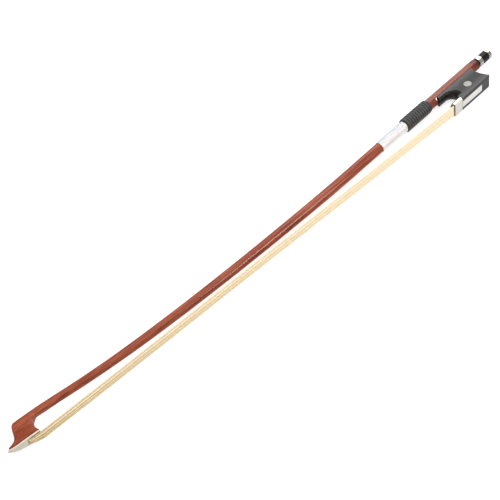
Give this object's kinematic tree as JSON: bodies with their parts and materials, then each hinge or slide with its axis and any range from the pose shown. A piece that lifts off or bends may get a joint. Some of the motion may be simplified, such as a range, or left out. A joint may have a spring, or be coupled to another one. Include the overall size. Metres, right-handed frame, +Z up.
{
  "type": "violin bow",
  "caption": "Small violin bow: cambered stick with carved head, hair, wire lapping, leather, frog that a screw moves, and a silver-and-ebony button.",
  "frame": {"origin": "middle of the bow's bounding box, on the plane that the ferrule's side lies on", "axes": "+X along the hair from the head to the button, +Y from the hair to the stick, +Z up, across the bow, which lies on its side"},
  "size_m": [0.4886, 0.0288, 0.013],
  "materials": {
    "varnished_wood": "clear gloss varnish over red-brown wood",
    "ebony": "polished black wood",
    "bone": "satin ivory white",
    "plug_wood": "bare pale wood",
    "bound_hair": "hair bound with thread",
    "horsehair": "bleached hair, soft sheen",
    "bright_wire": "drawn bright",
    "black_leather": "matt black",
    "nickel_silver": "polished",
    "steel": "turned",
    "brass": "cast and filed",
    "pearl": "polished shell"
  },
  "bodies": {
    "stick": {"stick": "varnished_wood", "tip_liner": "ebony", "tip_plate": "bone", "tip_plug": "plug_wood", "tip_knot": "bound_hair", "wire_lapping": "bright_wire", "thumb_leather": "black_leather", "hair_ribbon": "horsehair"},
    "frog": {"frog": "ebony", "frog_liner": "nickel_silver", "liner_pin_front": "steel", "liner_pin_rear": "steel", "frog_eye_left": "pearl", "frog_eye_right": "pearl", "slide_base": "ebony", "slide_pearl": "pearl", "ferrule": "nickel_silver", "ferrule_wedge": "plug_wood", "frog_plug": "plug_wood", "frog_knot": "bound_hair", "eyelet": "brass"},
    "screw": {"screw": "steel", "button_collar": "nickel_silver", "button_core": "ebony", "button_cap": "nickel_silver"}
  },
  "joints": [
    {"name": "screw_turn", "type": "hinge", "parent": "stick", "child": "screw", "pos_m": [0.22975, 0.0095, 0.0065], "axis": [-0.9983, -0.0584, 0], "range_deg": [-3000, 1800]},
    {"name": "frog_travel", "type": "slide", "parent": "stick", "child": "frog", "axis": [0.9983, 0.0584, 0], "range_m": [-0.005, 0.003], "deforming": ["hair_ribbon"]}
  ],
  "couplings": [
    {"joint": "screw_turn", "follows": "frog_travel", "rad_per_m": 10472}
  ]
}
